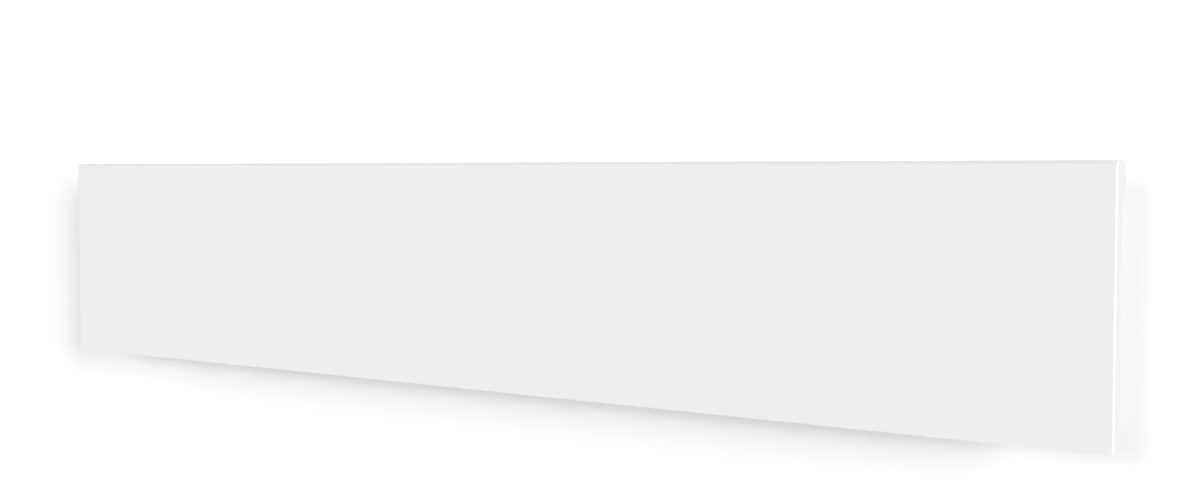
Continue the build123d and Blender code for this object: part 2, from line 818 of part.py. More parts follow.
# Mains rocker switch: hollow housing through the right cap, rocker on two stub pins.
rocker_y = around(chamber_y, rocker_body_width / 2)
rocker_z = around(rocker_level, rocker_body_height / 2)
rocker_top_x = body_end + rocker_rim_height
with BuildPart() as rocker_housing:
    block((body_end - rocker_depth, rocker_top_x), rocker_y, rocker_z)
    block((body_end, rocker_top_x), (rocker_y[0] - rocker_rim, rocker_y[1] + rocker_rim),
          (rocker_z[0] - rocker_rim, rocker_z[1] + rocker_rim))
    rim_face = rocker_housing.faces().sort_by(Axis.X)[-1]
    chamfer(rim_face.edges(), length=rocker_rim_height / 3)
    block((body_end - rocker_depth + rocker_floor, rocker_top_x),
          around(chamber_y, rocker_opening_width / 2),
          around(rocker_level, rocker_opening_height / 2), mode=Mode.SUBTRACT)
    with BuildSketch(facing(chamber_y)):
        with Locations((pivot_x, rocker_level)):
            Circle(rocker_pin + running_gap)
    extrude(amount=rocker_body_width / 2 - running_gap, both=True, mode=Mode.SUBTRACT)
rocker_housing.part.label = "rocker_housing"
export_step(rocker_housing.part, "parts/rocker_housing.step")

rest_tilt = radians(rocker_swing / 2)
rocker_plane = Plane(
    origin=(pivot_x, chamber_y, rocker_level),
    x_dir=(cos(rest_tilt), 0, sin(rest_tilt)),
    z_dir=(0, -1, 0),
)
rocker_skirt = 1.0
rocker_foot = 6.4
rocker_hub = 2.4
with BuildPart() as rocker:
    with BuildSketch(rocker_plane):
        with BuildLine():
            ThreePointArc((rocker_crest, -rocker_half), (rocker_dish, 0),
                          (rocker_crest, rocker_half))
            Line((rocker_crest, rocker_half), (-rocker_skirt, rocker_foot))
            ThreePointArc((-rocker_skirt, rocker_foot), (-rocker_hub, 0),
                          (-rocker_skirt, -rocker_foot))
            Line((-rocker_skirt, -rocker_foot), (rocker_crest, -rocker_half))
        make_face()
    extrude(amount=rocker_width / 2, both=True)
    with BuildSketch(rocker_plane):
        Circle(rocker_pin)
    extrude(amount=rocker_opening_width / 2 + housing_wall / 2, both=True)
rocker.part.label = "rocker"
export_step(rocker.part, "parts/rocker.step")

spade_start = body_end - rocker_depth - spade_length
with BuildPart() as rocker_terminals:
    for level in (-spade_offset, spade_offset):
        block((spade_start, body_end - rocker_depth), around(chamber_y, spade_width / 2),
              around(rocker_level + level, spade_sheet / 2))
rocker_terminals.part.label = "rocker_terminals"
export_step(rocker_terminals.part, "parts/rocker_terminals.step")

# Supply side: terminal block, cable gland with its nut, earth screw.
block_base = body_bottom + sheet
block_top = block_base + block_height
way_pitch = block_length / block_ways
way_xs = [block_x + (number - (block_ways - 1) / 2) * way_pitch for number in range(block_ways)]
with BuildPart() as terminal_block:
    block(around(block_x, block_length / 2), around(chamber_y, block_width / 2),
          (block_base, block_top))
    top_edges = terminal_block.faces().sort_by(Axis.Z)[-1].edges().filter_by(Axis.X)
    chamfer(top_edges, length=block_width / 8)
    with BuildSketch(facing(chamber_y - block_width / 2)):
        with Locations(*[(x, block_base + block_height / 2) for x in way_xs]):
            Rectangle(spade_width, spade_width)
    extrude(amount=-block_width / 3, mode=Mode.SUBTRACT)
terminal_block.part.label = "terminal_block"
export_step(terminal_block.part, "parts/terminal_block.step")

hex_corner = gland_hex / 2 / cos(radians(30))
with BuildPart() as cable_gland:
    with BuildSketch(Plane.XY.offset(body_bottom - gland_outside)):
        with Locations((gland_x, chamber_y)):
            RegularPolygon(hex_corner, 6)
    extrude(amount=gland_outside)
    with BuildSketch(Plane.XY.offset(body_bottom - gland_outside)):
        with Locations((gland_x, chamber_y)):
            Circle(gland_thread)
    extrude(amount=gland_outside + gland_inside)
    with BuildSketch(Plane.XY.offset(body_bottom - gland_outside)):
        with Locations((gland_x, chamber_y)):
            Circle(gland_bore)
    extrude(amount=gland_outside + gland_inside, mode=Mode.SUBTRACT)
cable_gland.part.label = "cable_gland"
export_step(cable_gland.part, "parts/cable_gland.step")

with BuildPart() as gland_nut:
    with BuildSketch(Plane.XY.offset(block_base)):
        with Locations((gland_x, chamber_y)):
            RegularPolygon(hex_corner, 6)
            Circle(gland_thread + running_gap, mode=Mode.SUBTRACT)
    extrude(amount=gland_nut_height)
gland_nut.part.label = "gland_nut"
export_step(gland_nut.part, "parts/gland_nut.step")

earth_x = block_x
earth_z = block_top + 3 * screw_head
with BuildPart() as earth_screw:
    with BuildSketch(facing(back_inner_y)):
        with Locations((earth_x, earth_z)):
            Circle(screw_head + screw_clear)
    extrude(amount=screw_head_height)
earth_screw.part.label = "earth_screw"
export_step(earth_screw.part, "parts/earth_screw.step")

# Room temperature sensor: a capsule in a moulded clip on the right cap.
sensor_x = casing_end - sensor_offset
sensor_y = chamber_y + sensor_y_shift
sensor_top = sensor_level + sensor_length
clip_bottom = sensor_level + sensor_length / 4
clip_top = sensor_level + 3 * sensor_length / 4
with BuildPart() as sensor_probe:
    with BuildSketch(Plane.XY.offset(sensor_level)):
        with Locations((sensor_x, sensor_y)):
            Circle(sensor_radius)
    extrude(amount=sensor_length)
sensor_probe.part.label = "sensor_probe"
export_step(sensor_probe.part, "parts/sensor_probe.step")

with BuildPart() as sensor_clip:
    with BuildSketch(Plane.XY.offset(clip_bottom)):
        clip_half = sensor_radius + running_gap + sensor_clip_wall
        flat(around(sensor_x, clip_half), around(sensor_y, clip_half))
        flat((sensor_x, casing_end), around(sensor_y, sensor_clip_wall))
        with Locations((sensor_x, sensor_y)):
            Circle(sensor_radius + running_gap, mode=Mode.SUBTRACT)
    extrude(amount=clip_top - clip_bottom)
sensor_clip.part.label = "sensor_clip"
export_step(sensor_clip.part, "parts/sensor_clip.step")

# Inner leads, each held at both ends.
drop_x = relay_x + component_half / 2
relay_end = board_bottom - relay_drop
lead_supply = lead(
    [
        (way_xs[2], chamber_y, block_top),
        (way_xs[2], chamber_y, rocker_level - spade_offset),
        (spade_start, chamber_y, rocker_level - spade_offset),
    ],
    lead_bend,
)
lead_supply.part.label = "lead_supply"
export_step(lead_supply.part, "parts/lead_supply.step")

lead_switched = lead(
    [
        (spade_start, chamber_y, rocker_level + spade_offset),
        (connector_x, chamber_y, rocker_level + spade_offset),
        (connector_x, chamber_y, board_bottom - connector_drop),
    ],
    lead_bend,
)
lead_switched.part.label = "lead_switched"
export_step(lead_switched.part, "parts/lead_switched.step")

lead_element_right = lead(
    [
        (drop_x, chamber_y, relay_end),
        (drop_x, chamber_y, element_level),
        (rod_right + pin_length, chamber_y, element_level),
    ],
    lead_bend,
)
lead_element_right.part.label = "lead_element_right"
export_step(lead_element_right.part, "parts/lead_element_right.step")

lead_left_x = rod_left - pin_length - 2 * lead_bend
lead_element_left = lead(
    [
        (rod_left - pin_length, chamber_y, element_level),
        (lead_left_x, chamber_y, element_level),
        (lead_left_x, return_lead_y, return_lead_z),
        (block_x - block_length / 2, return_lead_y, return_lead_z),
    ],
    lead_bend,
)
lead_element_left.part.label = "lead_element_left"
export_step(lead_element_left.part, "parts/lead_element_left.step")

sensor_pad_x = board_x[1] - 2 * post_inset
sensor_turn = 2 * lead_bend
lead_sensor = lead(
    [
        (sensor_x, sensor_y, sensor_top),
        (sensor_x, sensor_y, board_bottom - 3 * sensor_turn),
        (sensor_pad_x, sensor_y, board_bottom - sensor_turn),
        (sensor_pad_x, sensor_y, board_bottom),
    ],
    lead_bend,
)
lead_sensor.part.label = "lead_sensor"
export_step(lead_sensor.part, "parts/lead_sensor.step")

# Wall spacers: rubber feet at the casing's top corners that rest near the wall.
with BuildPart() as wall_spacers:
    with BuildSketch(facing(back_y)):
        for side in (-1, 1):
            with Locations((side * (casing_end - spacer_offset), spacer_level)):
                Circle(spacer_radius)
    extrude(amount=-(wall_gap - fit_gap))
wall_spacers.part.label = "wall_spacers"
export_step(wall_spacers.part, "parts/wall_spacers.step")

# Wall bracket: pressed bar and two legs whose ends turn out and up as hooks.
hook_tip = -hook_reach - bracket_sheet
with BuildPart() as wall_bracket:
    with BuildSketch(facing(0)):
        flat(around(0, leg_x + leg_width / 2), around(0, bar_height / 2))
        for x in (-leg_x, leg_x):
            flat(around(x, leg_width / 2), (hook_level - bracket_sheet, leg_rise))
            with Locations((x, screw_rows / 2), (x, -screw_rows / 2)):
                SlotOverall(slot_length, 2 * slot_width / 2, mode=Mode.SUBTRACT)
    extrude(amount=bracket_sheet)
    for x in (-leg_x, leg_x):
        with BuildSketch(across(x - hook_width / 2)) as hook:
            flat((hook_tip, 0), (hook_level - bracket_sheet, hook_level))
            flat((hook_tip, -hook_reach), (hook_level - bracket_sheet, hook_level + hook_lip))
            fillet(hook.vertices().group_by(Axis.X)[0].sort_by(Axis.Y)[0], radius=bracket_sheet)
        extrude(amount=hook_width)
wall_bracket.part.label = "wall_bracket"
export_step(wall_bracket.part, "parts/wall_bracket.step")

# Top clips: U springs welded to the legs that take the casing's rear tabs.
clip_back = -bracket_sheet
clip_mouth = back_y + clip_flare
lower_leaf = tab_level - clip_gap
upper_leaf = tab_level + sheet + clip_gap
clip_foot = 10.0
for name, x in (("left", -leg_x), ("right", leg_x)):
    with BuildPart() as clip:
        with BuildSketch(across(x - clip_width / 2)):
            flat((clip_back - clip_sheet, clip_back),
                 (lower_leaf - clip_sheet, upper_leaf + clip_sheet + clip_foot))
            flat((clip_mouth, clip_back), (lower_leaf - clip_sheet, lower_leaf))
            flat((clip_mouth, clip_back), (upper_leaf, upper_leaf + clip_sheet))
            with BuildLine():
                Polyline((clip_mouth, upper_leaf), (clip_mouth - clip_flare / 2,
                         upper_leaf + clip_flare), (clip_mouth, upper_leaf + clip_flare),
                         (clip_mouth + clip_flare / 2, upper_leaf), close=True)
            make_face()
            with BuildLine():
                Polyline((clip_mouth, lower_leaf), (clip_mouth - clip_flare / 2,
                         lower_leaf - clip_flare), (clip_mouth, lower_leaf - clip_flare),
                         (clip_mouth + clip_flare / 2, lower_leaf), close=True)
            make_face()
        extrude(amount=clip_width)
    clip.part.label = f"top_clip_{name}"
    export_step(clip.part, f"parts/top_clip_{name}.step")
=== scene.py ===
"""Low wall convector heater: finishes, printed marks, plain studio stage and camera."""

from __future__ import annotations

import json
import logging
import math
from dataclasses import dataclass, field
from enum import Enum
from typing import Any, Iterable, Sequence

import bmesh
import bpy
from mathutils import Euler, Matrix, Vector

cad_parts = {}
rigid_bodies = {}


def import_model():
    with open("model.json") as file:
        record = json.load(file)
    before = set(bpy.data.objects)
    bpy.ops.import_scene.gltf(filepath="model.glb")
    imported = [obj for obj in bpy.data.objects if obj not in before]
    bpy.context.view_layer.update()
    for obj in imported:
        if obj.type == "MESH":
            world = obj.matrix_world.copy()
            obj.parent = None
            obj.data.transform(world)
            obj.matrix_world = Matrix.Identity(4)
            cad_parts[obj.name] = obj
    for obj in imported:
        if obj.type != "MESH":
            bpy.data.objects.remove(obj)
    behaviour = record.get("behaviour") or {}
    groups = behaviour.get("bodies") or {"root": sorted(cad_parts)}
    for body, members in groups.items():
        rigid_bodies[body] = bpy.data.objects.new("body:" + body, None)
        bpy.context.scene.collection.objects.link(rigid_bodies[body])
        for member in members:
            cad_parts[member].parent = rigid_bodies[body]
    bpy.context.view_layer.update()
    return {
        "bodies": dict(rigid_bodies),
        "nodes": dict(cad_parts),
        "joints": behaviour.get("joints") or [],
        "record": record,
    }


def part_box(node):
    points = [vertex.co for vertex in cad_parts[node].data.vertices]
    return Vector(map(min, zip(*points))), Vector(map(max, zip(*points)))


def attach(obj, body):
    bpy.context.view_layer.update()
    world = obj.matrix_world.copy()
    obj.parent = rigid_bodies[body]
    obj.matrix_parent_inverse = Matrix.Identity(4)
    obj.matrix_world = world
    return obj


log = logging.getLogger("heater")

Colour = tuple[float, float, float]
Outline = Sequence[tuple[float, float]]

MM = 0.001


def rgba(colour: Colour, level: float = 1.0) -> tuple[float, float, float, float]:
    """Returns the colour at a given level with full opacity."""
    return (colour[0] * level, colour[1] * level, colour[2] * level, 1.0)


class Signal:
    """A node's output that takes part in arithmetic and feeds other nodes."""

    def __init__(self, recipe: Recipe, socket: bpy.types.NodeSocket) -> None:
        """Keeps the socket and the recipe that it belongs to."""
        self.recipe = recipe
        self.socket = socket

    def _math(self, operation: str, *terms: Signal | float) -> Signal:
        """Adds one Math node.

        Args:
            operation: The Math node's operation.
            terms: Its inputs, in order.

        Returns:
            The node's value.
        """
        return self.recipe.node(
            "ShaderNodeMath", {"operation": operation}, dict(enumerate(terms))
        )

    def __add__(self, other: Signal | float) -> Signal:
        """Returns self + other."""
        return self._math("ADD", self, other)

    def __radd__(self, other: float) -> Signal:
        """Returns other + self."""
        return self._math("ADD", other, self)

    def __sub__(self, other: Signal | float) -> Signal:
        """Returns self - other."""
        return self._math("SUBTRACT", self, other)

    def __rsub__(self, other: float) -> Signal:
        """Returns other - self."""
        return self._math("SUBTRACT", other, self)

    def __mul__(self, other: Signal | float) -> Signal:
        """Returns self * other."""
        return self._math("MULTIPLY", self, other)

    def __rmul__(self, other: float) -> Signal:
        """Returns other * self."""
        return self._math("MULTIPLY", other, self)

    def __lt__(self, other: Signal | float) -> Signal:
        """Returns 1 where self is less than other, and 0 elsewhere."""
        return self._math("LESS_THAN", self, other)

    def centred(self) -> Signal:
        """Returns a noise's value with its middle moved to 0."""
        return self - 0.5

    def limited(self, low: float = 0.0, high: float = 1.0) -> Signal:
        """Returns self held between two limits."""
        return self.recipe.node("ShaderNodeClamp", {}, {"Value": self, "Min": low, "Max": high})

    def stretched(self, x: float, y: float, z: float) -> Signal:
        """Returns a vector with each component scaled by its own number."""
        return self.recipe.node(
            "ShaderNodeVectorMath", {"operation": "MULTIPLY"}, {0: self, 1: (x, y, z)}
        )

    def part(self, name: str) -> Signal:
        """Returns the X, Y or Z component of a vector."""
        return self.recipe.node("ShaderNodeSeparateXYZ", {}, {0: self}, name)


@dataclass(frozen=True)
class Grain:
    """The size of a noise: lumps to the metre, and finer octaves on top."""

    scale: float
    detail: float = 2.0


@dataclass(frozen=True)
class Peaks:
    """The real depth of a relief in metres, and how strongly it shows."""

    depth: float
    strength: float


class Recipe:
    """A node tree that is being built."""

    def __init__(self, tree: bpy.types.NodeTree) -> None:
        """Empties the tree."""
        self.tree = tree
        tree.nodes.clear()

    def node(
        self,
        kind: str,
        settings: dict[str, Any] | None = None,
        sockets: dict[str | int, Any] | None = None,
        output: str | int = 0,
    ) -> Signal | None:
        """Adds a node.

        Args:
            kind: The node's type.
            settings: Its properties, set before the sockets; stops are a ramp's.
            sockets: A value or a signal for each input.
            output: The output that is wanted.

        Returns:
            That output, or None where the node has no outputs.
        """
        made = self.tree.nodes.new(kind)
        for name, value in (settings or {}).items():
            if name == "stops":
                self._set_stops(made.color_ramp, value)
            else:
                setattr(made, name, value)
        for name, value in (sockets or {}).items():
            if isinstance(value, Signal):
                self.tree.links.new(value.socket, made.inputs[name])
            else:
                made.inputs[name].default_value = value
        return Signal(self, made.outputs[output]) if len(made.outputs) else None

    @staticmethod
    def _set_stops(ramp: bpy.types.ColorRamp, stops: Sequence[tuple[float, Colour]]) -> None:
        """Gives a ramp its stops.

        Args:
            ramp: The ramp of a node.
            stops: Each stop's position and colour.
        """
        while len(ramp.elements) < len(stops):
            ramp.elements.new(1.0)
        for element, (position, colour) in zip(ramp.elements, stops):
            element.position = position
            element.color = rgba(colour)

    def place(self) -> Signal:
        """Returns the point's place in metres."""
        return self.node("ShaderNodeTexCoord", output="Object")

    def upward(self) -> Signal:
        """Returns how far the surface faces up, from -1 to 1."""
        return self.node("ShaderNodeNewGeometry", output="Normal").part("Z")

    def noise(self, place: Signal, grain: Grain) -> Signal:
        """Returns a noise of the given grain, a value around one half."""
        sockets = {"Vector": place, "Scale": grain.scale, "Detail": grain.detail}
        return self.node("ShaderNodeTexNoise", {}, sockets)

    def mix(self, factor: Signal | float, first: Any, second: Any) -> Signal:
        """Returns a colour between two colours, first at 0 and second at 1."""
        settings = {"data_type": "RGBA", "clamp_factor": True}
        return self.node("ShaderNodeMix", settings, {0: factor, 6: first, 7: second}, 2)

    def bump(self, height: Signal, peaks: Peaks) -> Signal:
        """Returns a normal that is bent by a relief, its height from 0 to 1."""
        sockets = {"Height": height, "Strength": peaks.strength, "Distance": peaks.depth}
        return self.node("ShaderNodeBump", {}, sockets)


@dataclass(frozen=True)
class Finish:
    """What every finish has: its name, colour as written, roughness and metal share."""

    name: str
    colour: Colour
    roughness: float = 0.5
    metallic: float = 0.0

    def sockets(self, recipe: Recipe) -> dict[str, Any]:
        """Returns a value or signal for each socket of the Principled shader."""
        raise NotImplementedError

    def material(self) -> bpy.types.Material:
        """Builds the finish.

        Returns:
            The new material.
        """
        made = bpy.data.materials.new(self.name)
        made.use_nodes = True
        recipe = Recipe(made.node_tree)
        values = {"Metallic": self.metallic} | self.sockets(recipe)
        surface = recipe.node("ShaderNodeBsdfPrincipled", {}, values)
        recipe.node("ShaderNodeOutputMaterial", {}, {"Surface": surface})
        return made


@dataclass(frozen=True)
class PowderCoat(Finish):
    """Fine satin powder coat with a faint peel; what faces up is tinted towards a dust colour,
    partly dust and partly painted shade that darkens the top.
    """

    clouds: Grain = Grain(2.6, 3.0)
    cloud_level: float = 0.988
    peel: Grain = Grain(1100.0, 1.5)
    peel_relief: Peaks = Peaks(0.00003, 0.3)
    peel_roughness: float = 0.1
    # Colour that up-facing surfaces are tinted towards: partly dust, partly painted shade that
    # darkens the top.
    dust_and_top_shade: Colour = (0.62, 0.60, 0.56)
    top_shade_and_dust_grain: Grain = Grain(60.0, 4.0)
    top_shade_and_dust_slope: float = 0.8
    top_shade_and_dust_share: float = 0.2
    dust_roughness: float = 0.3
    specular: float = 0.3

    def sockets(self, recipe: Recipe) -> dict[str, Any]:
        """Works out the coat's colour, roughness and relief.

        Args:
            recipe: The node tree that it is built in.

        Returns:
            A value or signal for each socket.
        """
        place = recipe.place()
        peel = recipe.noise(place, self.peel)
        # Painted shade: surfaces that face up are darkened towards the dust colour by their
        # normal. This also stands for dust, which roughens them.
        flatness = (recipe.upward() - self.top_shade_and_dust_slope) * (1.0 / (1.0 - self.top_shade_and_dust_slope))
        top_shade_and_dust_mask = flatness.limited() * recipe.noise(place, self.top_shade_and_dust_grain)
        clouds = recipe.noise(place, self.clouds)
        coat = recipe.mix(clouds, rgba(self.colour, self.cloud_level), rgba(self.colour))
        peeled = self.roughness + self.peel_roughness * peel.centred()
        return {
            # The base colour carries painted shade on up-facing surfaces, together with real dust.
            "Base Color": recipe.mix(top_shade_and_dust_mask * self.top_shade_and_dust_share, coat, rgba(self.dust_and_top_shade)),
            "Roughness": peeled + self.dust_roughness * top_shade_and_dust_mask,
            "Normal": recipe.bump(peel, self.peel_relief),
            "Specular IOR Level": self.specular,
        }


@dataclass(frozen=True)
class Spangled(Finish):
    """Galvanised sheet with crystals of zinc, each of its own grey."""

    crystals: float = 240.0
    crystal_share: float = 0.65
    crystal_roughness: float = 0.1
    bloom: Grain = Grain(14.0, 5.0)
    bloom_share: float = 0.5
    bloom_roughness: float = 0.2
    dark_level: float = 0.86
    skin: Grain = Grain(500.0, 3.0)
    skin_relief: Peaks = Peaks(0.00004, 0.2)

    def sockets(self, recipe: Recipe) -> dict[str, Any]:
        """Works out the sheet's colour, roughness and relief.

        Args:
            recipe: The node tree that it is built in.

        Returns:
            A value or signal for each socket.
        """
        place = recipe.place()
        cells = {"Vector": place, "Scale": self.crystals}
        cell = recipe.node("ShaderNodeTexVoronoi", {}, cells, "Color")
        grain = recipe.node("ShaderNodeSeparateColor", {}, {"Color": cell}, "Red")
        bloom = recipe.noise(place, self.bloom)
        tone = (self.crystal_share * grain + self.bloom_share * bloom).limited()
        uneven = self.roughness + self.crystal_roughness * grain.centred()
        return {
            "Base Color": recipe.mix(tone, rgba(self.colour, self.dark_level), rgba(self.colour)),
            "Roughness": uneven + self.bloom_roughness * bloom.centred(),
            "Normal": recipe.bump(recipe.noise(place, self.skin), self.skin_relief),
        }


class Lay(Enum):
    """The way that drawn or brushed lines run, as a stretch of the noise they come from."""

    ALONG_X = (9.0, 1400.0, 1400.0)
    ALONG_Y = (1400.0, 9.0, 1400.0)
    ALONG_Z = (1400.0, 1400.0, 9.0)


@dataclass(frozen=True)
class DrawnMetal(Finish):
    """Extruded, drawn or brushed metal with fine lines and a little tarnish."""

    metallic: float = 1.0
    lay: Lay = Lay.ALONG_X
    lines: Grain = Grain(1.0, 3.0)
    line_level: float = 0.86
    line_relief: Peaks = Peaks(0.00003, 0.25)
    line_roughness: float = 0.3
    tarnish: Colour = (0.35, 0.33, 0.30)
    tarnish_share: float = 0.25
    spots: Grain = Grain(90.0, 5.0)
    spot_contrast: float = 4.0
    spot_roughness: float = 0.15
    least_roughness: float = 0.05

    def sockets(self, recipe: Recipe) -> dict[str, Any]:
        """Works out the metal's colour, roughness and relief.

        Args:
            recipe: The node tree that it is built in.

        Returns:
            A value or signal for each socket.
        """
        place = recipe.place()
        lines = recipe.noise(place.stretched(*self.lay.value), self.lines)
        spots = (recipe.noise(place, self.spots).centred() * self.spot_contrast).limited()
        metal = recipe.mix(lines, rgba(self.colour, self.line_level), rgba(self.colour))
        drawn = self.roughness + self.line_roughness * lines.centred()
        rough = drawn + self.spot_roughness * spots
        return {
            "Base Color": recipe.mix(spots * self.tarnish_share, metal, rgba(self.tarnish)),
            "Roughness": rough.limited(self.least_roughness),
            "Normal": recipe.bump(lines, self.line_relief),
        }


@dataclass(frozen=True)
class HeatTinted(Finish):
    """Stainless sheath with bands of temper colour along its length."""

    metallic: float = 1.0
    straw: Colour = (0.42, 0.30, 0.16)
    purple: Colour = (0.22, 0.15, 0.17)
    dull: Colour = (0.20, 0.17, 0.20)
    half_length: float = 0.45
    middle: float = 0.55
    drift: Grain = Grain(22.0, 3.0)
    drift_share: float = 0.2
    drawing: tuple[float, float, float] = (30.0, 900.0, 900.0)
    grain: Grain = Grain(1.0)
    grain_relief: Peaks = Peaks(0.00002, 0.2)
    grain_roughness: float = 0.25

    def sockets(self, recipe: Recipe) -> dict[str, Any]:
        """Works out the sheath's colour, roughness and relief.

        Args:
            recipe: The node tree that it is built in.

        Returns:
            A value or signal for each socket.
        """
        place = recipe.place()
        reach = place.part("X") * (0.5 / self.half_length) + self.middle
        shift = self.drift_share * recipe.noise(place, self.drift).centred()
        stops = [
            (0.0, self.colour), (0.12, self.straw), (0.3, self.purple),
            (0.7, self.dull), (0.88, self.straw), (1.0, self.colour),
        ]
        tint = recipe.node("ShaderNodeValToRGB", {"stops": stops}, {"Fac": reach + shift})
        grain = recipe.noise(place.stretched(*self.drawing), self.grain)
        return {
            "Base Color": tint,
            "Roughness": self.roughness + self.grain_roughness * grain.centred(),
            "Normal": recipe.bump(grain, self.grain_relief),
        }


class Mould(Enum):
    """How a mould's wall was finished: its grain, its relief and the clear gloss."""

    SPARKED = (Grain(1500.0), Peaks(0.00006, 0.5), 0.0)
    SATIN = (Grain(700.0), Peaks(0.00002, 0.5), 0.1)
    POLISHED = (Grain(160.0), Peaks(0.00001, 0.5), 0.6)


@dataclass(frozen=True)
class Moulded(Finish):
    """Injection moulding whose surface is that of its mould, with slight flow marks."""

    mould: Mould = Mould.SPARKED
    flowing: tuple[float, float, float] = (9.0, 16.0, 24.0)
    flow: Grain = Grain(1.0, 4.0)
    flow_level: float = 0.965
    flow_roughness: float = 0.06
    grain_roughness: float = 0.14
    least_roughness: float = 0.04
    coat_base: float = 0.8
    coat_swing: float = 0.4
    coat_roughness: float = 0.12

    def sockets(self, recipe: Recipe) -> dict[str, Any]:
        """Works out the moulding's colour, roughness, gloss and relief.

        Args:
            recipe: The node tree that it is built in.

        Returns:
            A value or signal for each socket.
        """
        texture, relief, gloss = self.mould.value
        place = recipe.place()
        flow = recipe.noise(place.stretched(*self.flowing), self.flow)
        grain = recipe.noise(place, texture)
        rough = self.roughness + self.grain_roughness * grain.centred()
        return {
            "Base Color": recipe.mix(flow, rgba(self.colour, self.flow_level), rgba(self.colour)),
            "Roughness": (rough + self.flow_roughness * flow).limited(self.least_roughness),
            "Coat Weight": gloss * (self.coat_base + self.coat_swing * flow),
            "Coat Roughness": self.coat_roughness,
            "Normal": recipe.bump(grain, relief),
        }


@dataclass(frozen=True)
class Speckled(Finish):
    """Unglazed ceramic or rubber with fine speckles of a second colour."""

    speckle: Colour = (0.5, 0.45, 0.38)
    speckles: Grain = Grain(900.0, 4.0)
    speckle_relief: Peaks = Peaks(0.00005, 0.4)
    speckle_edge: float = 0.56
    speckle_contrast: float = 9.0
    speckle_share: float = 0.5
    bloom: Grain = Grain(45.0, 3.0)
    bloom_level: float = 0.88
    bloom_roughness: float = 0.15

    def sockets(self, recipe: Recipe) -> dict[str, Any]:
        """Works out the body's colour, roughness and relief.

        Args:
            recipe: The node tree that it is built in.

        Returns:
            A value or signal for each socket.
        """
        place = recipe.place()
        grain = recipe.noise(place, self.speckles)
        specks = ((grain - self.speckle_edge) * self.speckle_contrast).limited()
        bloom = recipe.noise(place, self.bloom)
        body = recipe.mix(bloom, rgba(self.colour, self.bloom_level), rgba(self.colour))
        return {
            "Base Color": recipe.mix(specks * self.speckle_share, body, rgba(self.speckle)),
            "Roughness": (self.roughness + self.bloom_roughness * bloom.centred()).limited(),
            "Normal": recipe.bump(grain, self.speckle_relief),
        }


@dataclass(frozen=True)
class SmokedWindow(Finish):
    """Polished dark window with faint wipe marks."""

    wiping: tuple[float, float, float] = (60.0, 420.0, 60.0)
    wipes: Grain = Grain(1.0, 5.0)
    wipe_edge: float = 0.45
    wipe_contrast: float = 3.0
    wipe_roughness: float = 0.16
    smoke: Grain = Grain(18.0)
    thin_level: float = 0.7
    thick_level: float = 1.3
    coat_base: float = 0.5
    coat_swing: float = 0.3
    coat_roughness: float = 0.04

    def sockets(self, recipe: Recipe) -> dict[str, Any]:
        """Works out the window's colour, roughness and gloss.

        Args:
            recipe: The node tree that it is built in.

        Returns:
            A value or signal for each socket.
        """
        place = recipe.place()
        wipes = recipe.noise(place.stretched(*self.wiping), self.wipes)
        marks = ((wipes - self.wipe_edge) * self.wipe_contrast).limited()
        smoke = recipe.noise(place, self.smoke)
        thin, thick = rgba(self.colour, self.thin_level), rgba(self.colour, self.thick_level)
        return {
            "Base Color": recipe.mix(smoke, thin, thick),
            "Roughness": self.roughness + self.wipe_roughness * marks,
            "Coat Weight": self.coat_base + self.coat_swing * wipes,
            "Coat Roughness": self.coat_roughness,
        }


@dataclass(frozen=True)
class Laminate(Finish):
    """Printed circuit board: lacquer over copper tracks, with tinned pads."""

    track: Colour = (0.10, 0.34, 0.15)
    track_scale: float = 90.0
    track_width: float = 0.03
    track_offset: float = 0.37
    second_level: float = 0.85
    pad: Colour = (0.68, 0.67, 0.63)
    pad_scale: float = 260.0
    pad_reach: float = 0.16
    pad_metal: float = 0.9
    pad_relief: Peaks = Peaks(0.0001, 0.3)
    lacquer: Grain = Grain(200.0)
    lacquer_roughness: float = 0.1

    def sockets(self, recipe: Recipe) -> dict[str, Any]:
        """Works out the board's colour, roughness, metal share and relief.

        Args:
            recipe: The node tree that it is built in.

        Returns:
            A value or signal for each socket.
        """
        place = recipe.place()
        layout = {
            "Vector": place, "Scale": self.track_scale, "Mortar Size": self.track_width,
            "Color1": rgba(self.colour), "Color2": rgba(self.colour, self.second_level),
            "Mortar": rgba(self.track),
        }
        tracks = recipe.node("ShaderNodeTexBrick", {"offset": self.track_offset}, layout)
        cells = {"Vector": place, "Scale": self.pad_scale}
        dots = recipe.node("ShaderNodeTexVoronoi", {}, cells)
        pads = dots < self.pad_reach
        lacquer = recipe.noise(place, self.lacquer)
        return {
            "Base Color": recipe.mix(pads, tracks, rgba(self.pad)),
            "Roughness": self.roughness + self.lacquer_roughness * lacquer,
            "Metallic": pads * self.pad_metal,
            "Normal": recipe.bump(1.0 - dots, self.pad_relief),
        }


@dataclass(frozen=True)
class Ink(Finish):
    """Printed or glowing mark whose edge density varies slightly."""

    glow: float = 0.0
    density: Grain = Grain(900.0, 3.0)
    thin_level: float = 0.85
    density_roughness: float = 0.2

    def sockets(self, recipe: Recipe) -> dict[str, Any]:
        """Works out the mark's colour, roughness and glow.

        Args:
            recipe: The node tree that it is built in.

        Returns:
            A value or signal for each socket.
        """
        density = recipe.noise(recipe.place(), self.density)
        shade = recipe.mix(density, rgba(self.colour, self.thin_level), rgba(self.colour))
        return {
            "Base Color": shade,
            "Roughness": self.roughness + self.density_roughness * density.centred(),
            "Emission Color": shade,
            "Emission Strength": self.glow,
        }


